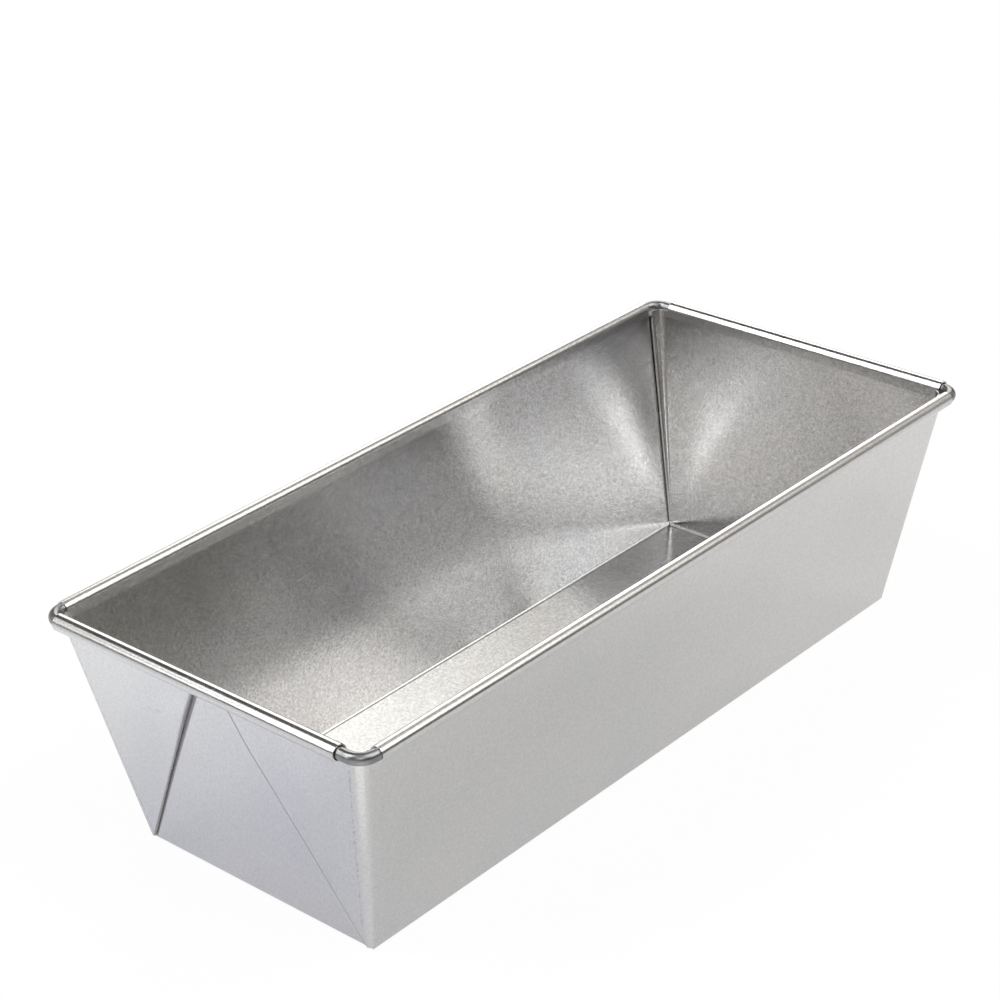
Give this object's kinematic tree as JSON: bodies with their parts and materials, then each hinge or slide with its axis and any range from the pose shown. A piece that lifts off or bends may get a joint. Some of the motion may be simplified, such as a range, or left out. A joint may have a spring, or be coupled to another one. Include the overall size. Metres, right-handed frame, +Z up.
{
  "type": "folded loaf pan",
  "caption": "Rectangular loaf pan folded from one tinplate sheet, with gusseted corners, flared walls and a wired rim.",
  "frame": {"origin": "middle of the underside of the floor", "axes": "+X along the pan, +Y across it, +Z up out of its mouth"},
  "size_m": [0.25, 0.115, 0.07],
  "materials": {
    "tinplate": "bright tin with a fine grain",
    "rim_wire_steel": "dull grey drawn wire"
  },
  "bodies": {
    "root": {"pan_sheet": "tinplate", "rim_wire": "rim_wire_steel"}
  },
  "joints": []
}
